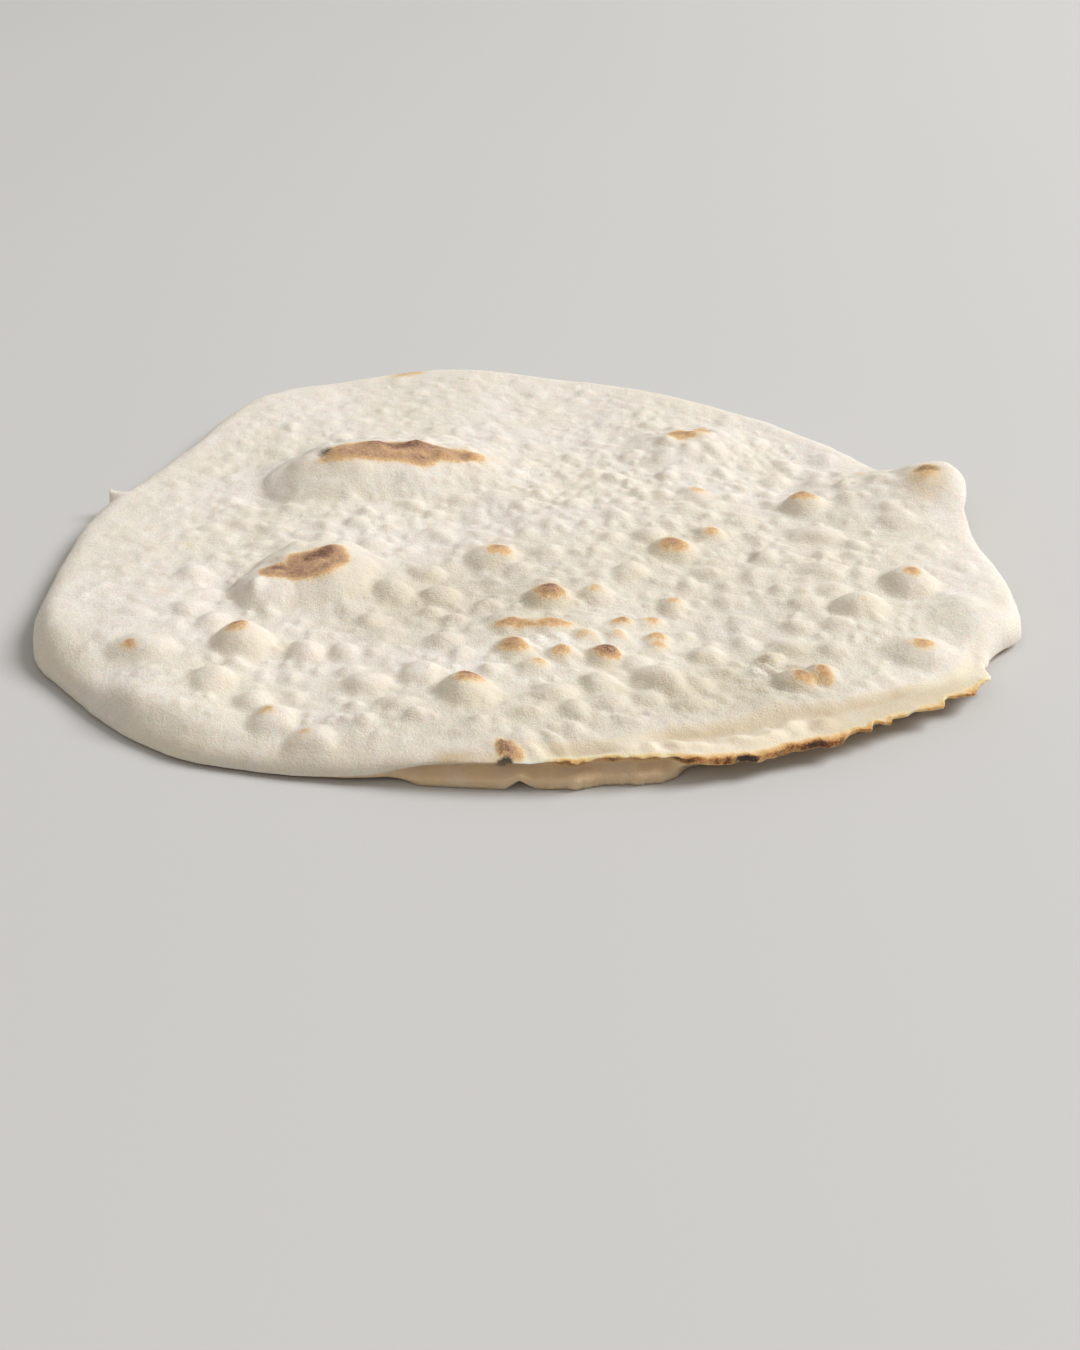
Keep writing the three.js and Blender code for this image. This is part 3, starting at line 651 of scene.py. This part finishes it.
def make_maps():
    """Relief and marks of the upper skin, over the plan."""
    blisters = PlanMap()
    small = scatter(BUMPS, [(x, y, long) for x, y, long, *_ in BLISTERS + BEANS])
    stamp_bumps(blisters, BLISTERS, BLISTER_FULLNESS)
    stamp_bumps(blisters, small, BUMP_FULLNESS)
    lobes = PlanMap()
    stamp_bumps(lobes, LOBES, LOBE_FULLNESS)
    blisters.values += lobes.values
    blisters = blisters.blurred(FOOT_BLUR)
    east, north = np.gradient(blisters.values, MAP_STEP)
    flank = PlanMap()
    flank.values = np.hypot(east, north)
    hollow = PlanMap()
    hollow.values = np.clip(blisters.blurred(HOLLOW_REACH).values - blisters.values, 0, None)
    ring = stamped(CRATERS, lambda left, high: high * 4 * left * (1 - left))  # highest half way out
    hole = stamped(CRATERS, lambda left, high: CRATER_DEEP * left**2)
    blisters.values += ring.values - hole.values
    stamp_bumps(blisters, BEANS + SHARDS + STUB, BEAN_FULLNESS)
    pebbles = PlanMap()
    stamp_bumps(pebbles, scatter(PEBBLES, []), BUMP_FULLNESS)
    shift, longer, deeper, darker = SCORCH_BACK
    backs = [(x, y + shift * deep, longer * long, deeper * deep, bearing, darker * dark, sharp)
             for x, y, long, deep, bearing, dark, sharp in SCORCHES]
    return SimpleNamespace(
        blisters=blisters, pebbles=pebbles, hollow=hollow, flank=flank.blurred(FOOT_BLUR),
        scorch=stamped(SCORCHES, scorch_depth).blurred(SCORCH_BLUR),
        scorch_back=stamped(backs, lambda left, dark, sharp: dark * left).blurred(SCORCH_BLUR),
        halo=stamped(SCORCHES, lambda left, dark, sharp: dark * left, HALO_SPREAD),
        char=stamped(CHARS, lambda left, dark: dark * left),
        flour=stamped(FLOURS, lambda left, white: white * left),
        baked=stamped(BAKED, lambda left, share: share * left))


MAPS = make_maps()
WARP_NOISE = [(SmoothNoise(WARP_SEED + 2 * k), SmoothNoise(WARP_SEED + 2 * k + 1), size, shift)
              for k, (size, shift) in enumerate(WARP)]
RIM_NOISE = SmoothNoise(RAGGED_SEED)
LUMP_NOISE = SmoothNoise(LUMP_SEED)
GRAIN_NOISE = [(SmoothNoise(GRAIN_SEED + k), size, high) for k, (size, high) in enumerate(GRAIN)]


def warped(x, y):
    """Plan point moved a little by smooth noise, which makes round marks uneven."""
    east = x + sum(shift * noise(x, y, size) for noise, _, size, shift in WARP_NOISE)
    north = y + sum(shift * noise(x, y, size) for _, noise, size, shift in WARP_NOISE)
    return east, north


def bump(x, y, mark, fullness):
    mid_x, mid_y, long, deep, bearing, high = mark
    cos, sin = math.cos(math.radians(bearing)), math.sin(math.radians(bearing))
    along = (x - mid_x) * cos + (y - mid_y) * sin
    across = (y - mid_y) * cos - (x - mid_x) * sin
    left = 1 - (along / (long / 2)) ** 2 - (across / (deep / 2)) ** 2
    return high * np.clip(left, 0, 1) ** fullness


def lip_band(rim, inset, band):
    """1 along the middle of a band of the lip, 0 beside it."""
    middle, half = band
    return np.clip(1 - ((inset / rim.lip_width - middle) / half) ** 2, 0, 1) ** 2


def crest_share(rim, inset):
    return rim.crested * lip_band(rim, inset, CREST)


def valley_share(rim, inset):
    return sum(share * lip_band(rim, inset, band) for share, (_, band) in zip(rim.valleys, VALLEYS))


def tan_and_shade_share(rim, inset):
    """1 where the skin is painted tan: in the lip's valley, partly as skin without flour and partly as
    painted shade; out to the edge along a stretch of the lip, without flour; and in a narrow band along
    the edge beside the lip, partly without flour and partly as painted shade.
    """
    outer = TANNED_SHARE * rim.tanned * (1 - smoothstep(inset / rim.lip_width, *TANNED_FADE))
    edge = rim.tan_and_shade_edge * (1 - smoothstep(inset, *TAN_AND_SHADE_EDGE_FADE))
    return np.maximum.reduce([valley_share(rim, inset), outer, edge])


def upper_skin(x, y, rim, inset):
    """Height of the upper skin at plan points, some way in from the rim."""
    body = np.full_like(x, PLATE)
    for length, bearing, high, phase in WAVES:
        travel = x * math.cos(math.radians(bearing)) + y * math.sin(math.radians(bearing))
        body += high * np.sin(2 * np.pi * travel / length + math.radians(phase))
    for puff in PUFFS:
        body += bump(x, y, puff, PUFF_FULLNESS)
    for hollow in HOLLOWS:
        body -= bump(x, y, hollow, PUFF_FULLNESS)
    near, full, fading, far = LUMP_INSET
    lumpy = rim.roll * smoothstep(inset, near, full) * (1 - smoothstep(inset, fading, far))
    body += lumpy * ROLL_LUMPS[1] * LUMP_NOISE(x, y, ROLL_LUMPS[0])
    along_lip = inset / rim.lip_width
    body = lerp(body, rim.edge, rim.lip * (1 - smoothstep(along_lip, *STEP)))
    body += CREST_HIGH * crest_share(rim, inset) * (1 + CREST_UNEVEN * LUMP_NOISE(x, y, CREST_LUMPS))
    body -= VALLEY_DEEP * valley_share(rim, inset)
    bent = 1 - np.clip(inset / rim.bend, 0, 1)
    skin = lerp(rim.edge, body, np.sqrt(1 - bent**2))
    skin += rim.ragged_edge * (1 - smoothstep(inset, 0, RAGGED_EDGE_REACH))
    at = warped(x, y)
    blister = MAPS.blisters.read(*at)
    covered = np.clip(blister / PEBBLE_FREE_HEIGHT, 0, 1)
    pebble = MAPS.pebbles.read(*at) * (1 - PEBBLE_SHARE_LOST * covered)
    grain = sum(high * noise(x, y, size) for noise, size, high in GRAIN_NOISE)
    grain *= 1 - SMOOTH_GRAIN_SHARE * smooth_share(x, y)
    quiet = QUIET_SHARE * rim.lip * (1 - smoothstep(along_lip, *QUIET))
    fade = np.clip(inset / BLISTER_RIM_FADE, 0, 1) * (1 - quiet)
    return skin + (blister + pebble + grain) * fade


def lower_skin(rim, inset):
    """Height of the lower skin: flat on the table in the middle, lifted a little at the rim."""
    outer = np.clip(1 - (inset - UNDER) / (REST_INSET - UNDER), 0, 1)
    return rim.lift * outer**2


def rim_row(rim, turn):
    """One row of the rim's outside, from the edge (turn 0) to the underside (turn 1)."""
    quarter = turn * np.pi / 2
    foot = lower_skin(rim, UNDER)
    edge = rim.edge + rim.ragged_edge
    inset = UNDER * (1 - math.cos(quarter))
    height = lerp(edge, foot, math.sin(quarter))
    cut = math.sin(np.pi * min(turn / GROOVE_SHARE, 1) ** GROOVE_SHARPNESS)
    groove = GROOVE * cut + SKIN_FOOT * turn**SKIN_FOOT_SHARPNESS
    inset = lerp(inset, groove, rim.two_skins)
    height = lerp(height, lerp(edge, foot, turn), rim.two_skins)
    flap_inset = FLAP_DEEP * smoothstep(turn, FLAP_FACE, FLAP_FOOT)
    flap_height = edge - rim.flap_thick * smoothstep(turn, 0, FLAP_FACE)
    flap_height = lerp(flap_height, foot, smoothstep(turn, FLAP_FOOT, 1))
    return lerp(inset, flap_inset, rim.flap), lerp(height, flap_height, rim.flap)


class BreadMesh:
    """Rings of points with their heights and colour marks, stitched into one closed skin."""

    # Colour marks that the crust material reads; some of them carry painted shade
    FIELDS = ("scorch", "halo", "char", "flour", "baked", "toast", "warm", "valley", "lip", "under")

    def __init__(self):
        self.points = []
        self.fields = {name: [] for name in self.FIELDS}
        self.rings = []
        self.count = 0

    def add_ring(self, bearing, rim, inset, height, **fields):
        x, y = plan_point(bearing, rim, inset)
        self.points.append(np.stack([x, y, height], 1))
        for name in self.FIELDS:
            self.fields[name].append(np.broadcast_to(fields.get(name, 0.0), bearing.shape))
        self.rings.append((bearing, np.arange(self.count, self.count + len(bearing))))
        self.count += len(bearing)

    def triangles(self):
        faces = []
        for first, second in zip(self.rings, self.rings[1:]):
            faces += stitch(first, second)
        return faces


def stitch(first, second):
    """Triangles between two rings, always stepping on along the ring that lags behind."""
    rings = []
    for bearing, index in (first, second):
        if len(index) == 1:
            rings.append((list(bearing), list(index)))
        else:
            rings.append(([*bearing, bearing[0] + 360], [*index, index[0]]))
    (a_bearing, a), (b_bearing, b) = rings
    i = j = 0
    faces = []
    while i < len(a) - 1 or j < len(b) - 1:
        a_next = a_bearing[i + 1] if i < len(a) - 1 else math.inf
        b_next = b_bearing[j + 1] if j < len(b) - 1 else math.inf
        if a_next <= b_next:
            faces.append((a[i], b[j], a[i + 1]))
            i += 1
        else:
            faces.append((a[i], b[j], b[j + 1]))
            j += 1
    return faces


def ring_bearings(count, shift):
    return 360 * (np.arange(count) + shift) / count


def make_bread():
    """The bread as one fine mesh: upper skin, rim and underside."""
    mesh = BreadMesh()
    for k in range(TOP_RINGS + 1):
        bearing = ring_bearings(max(1, RING_POINTS * k), (k % 2) / 2)
        rim = rim_at(bearing)
        inset = rim.radius * (1 - k / TOP_RINGS) ** RING_EASE
        x, y = plan_point(bearing, rim, inset)
        at = warped(x, y)
        band = np.clip(1 - inset / TOAST_WIDTH, 0, 1)
        rim_char = RIM_CHAR_SHARE * rim.char * rim.lip * band**RIM_CHAR_FADE
        # painted shade on the face of the rolled edge
        warm_roll = ROLL_PAINTED_SHADE * rim.roll * (1 - smoothstep(inset, 0, ROLL_PAINTED_SHADE_REACH))
        mesh.add_ring(
            bearing, rim, inset, upper_skin(x, y, rim, inset),
            scorch=np.maximum(MAPS.scorch.read(*at), MAPS.scorch_back.read(*at)),
            halo=MAPS.halo.read(*at),
            char=MAPS.char.read(*at) + rim_char,
            flour=MAPS.flour.read(*at),
            baked=MAPS.baked.read(*at),
            toast=rim.toast * band**TOAST_FADE,
            # tan of slopes, partly own tone and partly painted shade, with painted shade in hollows and
            # on the rolled edge's face
            warm=MAPS.flank.read(*at) + HOLLOW_PAINTED_SHADE * MAPS.hollow.read(*at) + warm_roll,
            # tan of the lip's valley and of a band along the edge: partly skin without flour, partly
            # painted shade
            valley=tan_and_shade_share(rim, inset),
            lip=rim.lip * (1 - smoothstep(inset / rim.lip_width, *BARE_LIP)))
    bearing = ring_bearings(RING_POINTS * TOP_RINGS, (TOP_RINGS % 2) / 2)
    rim = rim_at(bearing)
    for row in range(1, RIM_ROWS + 1):
        turn = row / RIM_ROWS
        inset, height = rim_row(rim, turn)
        edge_face = 1 - smoothstep(turn, FLAP_FACE / 2, 2 * FLAP_FACE)
        toast = rim.toast + FACE_TOAST * rim.flap * turn / FLAP_FACE
        mesh.add_ring(
            bearing, rim, inset, height, toast=toast * edge_face, char=rim.char * edge_face,
            under=smoothstep(turn, 0, FLAP_FACE))
    for k in range(BOTTOM_RINGS, -1, -1):
        bearing = ring_bearings(max(1, RING_POINTS * k), (k % 2) / 2)
        rim = rim_at(bearing)
        inset = lerp(rim.radius, FLAP_DEEP + UNDERCUT_GAP, k / BOTTOM_RINGS)
        mesh.add_ring(bearing, rim, inset, lower_skin(rim, inset), under=1.0)

    data = bpy.data.meshes.new("bread_skin")
    data.from_pydata(np.concatenate(mesh.points) * MM, [], mesh.triangles())
    for name in mesh.FIELDS:
        attribute = data.attributes.new(name, "FLOAT", "POINT")
        attribute.data.foreach_set("value", np.concatenate(mesh.fields[name]).astype(np.float32))
    data.polygons.foreach_set("use_smooth", np.ones(len(data.polygons), bool))
    data.update()
    piece = bpy.data.objects.new("bread_skin", data)
    bpy.context.scene.collection.objects.link(piece)
    return piece


def linear(colour):
    """Linear red, green, blue, alpha of an sRGB colour written as #rrggbb."""
    shares = [int(colour[k:k + 2], 16) / 255 for k in (1, 3, 5)]
    return (*(s / 12.92 if s <= 0.04045 else ((s + 0.055) / 1.055) ** 2.4 for s in shares), 1)


class Shader:
    """Short ways to add the nodes of one material."""

    def __init__(self, name):
        self.material = bpy.data.materials.new(name)
        self.material.use_nodes = True
        self.tree = self.material.node_tree
        self.surface = self.tree.nodes["Principled BSDF"]
        coordinates = self.tree.nodes.new("ShaderNodeTexCoord").outputs["Object"]
        inputs = {0: coordinates, "Scale": 1 / MM}
        self.place = self.add("ShaderNodeVectorMath", {"operation": "SCALE"}, inputs).outputs[0]

    def add(self, kind, settings, inputs):
        made = self.tree.nodes.new(kind)
        for name, value in settings.items():
            setattr(made, name, value)
        for name, value in inputs.items():
            self.set(made.inputs[name], value)
        return made

    def set(self, socket, value):
        if isinstance(value, bpy.types.NodeSocket):
            self.tree.links.new(value, socket)
        else:
            socket.default_value = value

    def noise(self, size, detail, roughness=0.5):
        inputs = {"Vector": self.place, "Scale": 1 / size, "Detail": detail, "Roughness": roughness}
        return self.add("ShaderNodeTexNoise", {}, inputs).outputs["Fac"]

    def centred(self, value, gain):
        """A noise value spread evenly around 0."""
        return self.times(self.math("SUBTRACT", value, 0.5), gain)

    def field(self, name):
        return self.add("ShaderNodeAttribute", {"attribute_name": name}, {}).outputs["Fac"]

    def math(self, operation, a, b, c=0.0):
        return self.add("ShaderNodeMath", {"operation": operation}, {0: a, 1: b, 2: c}).outputs[0]

    def times(self, a, b):
        return self.math("MULTIPLY", a, b)

    def spread(self, value, low, high, to_low=0.0, to_high=1.0):
        inputs = {
            "Value": value, "From Min": low, "From Max": high, "To Min": to_low, "To Max": to_high}
        settings = {"interpolation_type": "SMOOTHSTEP"}
        return self.add("ShaderNodeMapRange", settings, inputs).outputs[0]

    def cover(self, below, share, colour):
        """Some share of a colour, over what is below."""
        above = colour if isinstance(colour, bpy.types.NodeSocket) else linear(colour)
        inputs = {0: share, 6: below, 7: above}  # the sockets for colours
        return self.add("ShaderNodeMix", {"data_type": "RGBA"}, inputs).outputs[2]

    def ramp(self, value, stops):
        made = self.add("ShaderNodeValToRGB", {}, {"Fac": value})
        elements = made.color_ramp.elements
        while len(elements) < len(stops):
            elements.new(0.5)  # its place is set below
        for element, (at, colour) in zip(elements, stops):
            element.position = at
            element.color = linear(colour)
        return made.outputs["Color"]


def crust_material():
    """Floury cream skin with its baked, scorched, toasted and charred marks, and painted shade: tan on
    slopes, in hollows, in the lip's valley and along some edges.
    """
    shader = Shader("crust")
    patch = shader.noise(*PATCH_NOISE)
    blotch = shader.centred(shader.noise(*BLOTCH_NOISE), BLOTCH_GAIN)
    fine = shader.centred(shader.noise(*FINE_NOISE), FINE_GAIN)
    grit = shader.centred(shader.noise(*GRIT_NOISE), GRIT_GAIN)
    speckle = shader.math("ADD", fine, grit)
    uneven = shader.math("ADD", shader.math("ADD", blotch, speckle), 1)

    warm_cream = shader.spread(shader.noise(*BROAD_NOISE), *CREAM_WARM_RANGE)
    colour = shader.cover(linear(CREAM), warm_cream, CREAM_WARM)
    colour = shader.cover(colour, shader.spread(patch, *CREAM_PALE_RANGE), CREAM_PALE)
    dull = shader.spread(shader.noise(*DULL_NOISE), *CREAM_DULL_RANGE)
    colour = shader.cover(colour, dull, CREAM_DULL)
    # deeper cream: partly the skin's own tone, partly painted shade of the fine relief
    colour = shader.cover(colour, shader.field("baked"), BAKED_AND_SHADE_COLOUR)
    colour = shader.cover(colour, shader.spread(speckle, *SPECKLE_RANGE), SPECKLE_COLOUR)
    # painted shade: tan on slopes, in hollows and on the rolled edge's face; on blister slopes it is
    # partly the skin's own tone
    slope_tan_and_shade = shader.spread(shader.field("warm"), *SLOPE_TAN_AND_SHADE_RANGE)
    slope_tan_and_shade = shader.times(slope_tan_and_shade, shader.spread(patch, *SLOPE_TAN_AND_SHADE_PATCHES))
    colour = shader.cover(colour, slope_tan_and_shade, SLOPE_TAN_AND_SHADE)
    colour = shader.cover(colour, shader.times(shader.field("lip"), LIP_SHARE), LIP_COLOUR)
    # tan of skin without flour, which is also painted shade in the lip's valley and along the edge band
    lip_tan_and_shade = shader.times(shader.field("valley"), shader.spread(patch, *BARE_TAN_AND_SHADE_PATCHES))
    colour = shader.cover(colour, lip_tan_and_shade, BARE_TAN_AND_SHADE)
    colour = shader.cover(colour, shader.times(shader.field("halo"), HALO_SHARE), HALO_COLOUR)
    flour = shader.times(shader.field("flour"), shader.spread(speckle, *FLOUR_RANGE))
    colour = shader.cover(colour, flour, FLOUR_COLOUR)
    under = shader.times(shader.field("under"), shader.spread(patch, *UNDER_PATCHES))
    colour = shader.cover(colour, under, UNDER_COLOUR)

    cells = shader.math(
        "MULTIPLY_ADD", speckle, SCORCH_SPECKLE, shader.times(blotch, SCORCH_BLOTCH))
    scorch = shader.math("MULTIPLY_ADD", shader.field("halo"), cells, shader.field("scorch"))
    brown = shader.ramp(scorch, SCORCH_COLOURS)
    colour = shader.cover(colour, shader.spread(scorch, *SCORCH_RANGE), brown)
    toast = shader.times(shader.field("toast"), uneven)
    gold = shader.ramp(toast, TOAST_COLOURS)
    colour = shader.cover(colour, shader.spread(toast, *TOAST_RANGE), gold)
    char = shader.times(shader.field("char"), uneven)
    colour = shader.cover(colour, shader.spread(char, *CHAR_RANGE), CHAR_COLOUR)

    surface = shader.surface
    shader.set(surface.inputs["Base Color"], colour)
    shader.set(surface.inputs["Roughness"], shader.spread(speckle, *ROUGHNESS_RANGE))
    surface.inputs["Specular IOR Level"].default_value = SPECULAR
    surface.inputs["Subsurface Weight"].default_value = SUBSURFACE_WEIGHT
    surface.inputs["Subsurface Radius"].default_value = SUBSURFACE_RADIUS
    surface.inputs["Subsurface Scale"].default_value = SUBSURFACE_SCALE * MM
    relief = shader.math("ADD", shader.times(blotch, RELIEF_BLOTCH), speckle)
    stronger = shader.math("MULTIPLY_ADD", shader.field("baked"), RELIEF_BAKED, 1.0)
    inputs = {"Strength": RELIEF_STRENGTH, "Distance": RELIEF_HEIGHT * MM,
              "Height": shader.times(relief, stronger)}
    bump_node = shader.add("ShaderNodeBump", {}, inputs)
    shader.set(surface.inputs["Normal"], bump_node.outputs["Normal"])
    return shader.material


def floor_material():
    shader = Shader("floor")
    first, second = FLOOR_COLOURS
    shade = shader.cover(linear(first), shader.noise(*FLOOR_NOISE), second)
    shader.set(shader.surface.inputs["Base Color"], shade)
    shader.surface.inputs["Roughness"].default_value = FLOOR_ROUGHNESS
    shader.surface.inputs["Specular IOR Level"].default_value = FLOOR_SPECULAR
    return shader.material


def make_floor():
    corners = [(FLOOR_HALF * east, FLOOR_HALF * north, 0)
               for east, north in ((-1, -1), (1, -1), (1, 1), (-1, 1))]
    data = bpy.data.meshes.new("floor")
    data.from_pydata(corners, [], [(0, 1, 2, 3)])
    floor = bpy.data.objects.new("floor", data)
    data.materials.append(floor_material())
    bpy.context.scene.collection.objects.link(floor)


def add_area_light(name, place, size, watts, colour):
    """A round light that faces the bread."""
    light = bpy.data.lights.new(name, "AREA")
    light.shape = "DISK"
    light.size = size
    light.energy = watts
    light.color = colour
    lamp = bpy.data.objects.new(name, light)
    lamp.location = place
    lamp.rotation_euler = (-lamp.location).to_track_quat("-Z", "Y").to_euler()
    bpy.context.scene.collection.objects.link(lamp)


def light_scene():
    world = bpy.data.worlds.new("studio")
    world.use_nodes = True
    background = world.node_tree.nodes["Background"]
    background.inputs["Color"].default_value = linear(WORLD_COLOUR)
    background.inputs["Strength"].default_value = WORLD_STRENGTH
    bpy.context.scene.world = world
    for light in LIGHTS:
        add_area_light(*light)


def make_camera():
    data = bpy.data.cameras.new("camera")
    data.sensor_width = SENSOR
    data.lens = FOCAL_PIXELS / PICTURE_LONG_SIDE * SENSOR
    camera = bpy.data.objects.new("camera", data)
    camera.location = [length * MM for length in CAMERA_PLACE]
    camera.rotation_euler = (math.radians(90 - CAMERA_PITCH), 0, 0)
    bpy.context.scene.collection.objects.link(camera)
    bpy.context.scene.camera = camera


def main():
    make_camera()
    light_scene()
    make_floor()
    crust = crust_material()
    bread = make_bread()
    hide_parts("bread")
    bread.data.materials.append(crust)
    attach(bread, "root")
    bpy.context.scene.view_settings.view_transform = "Standard"


main()
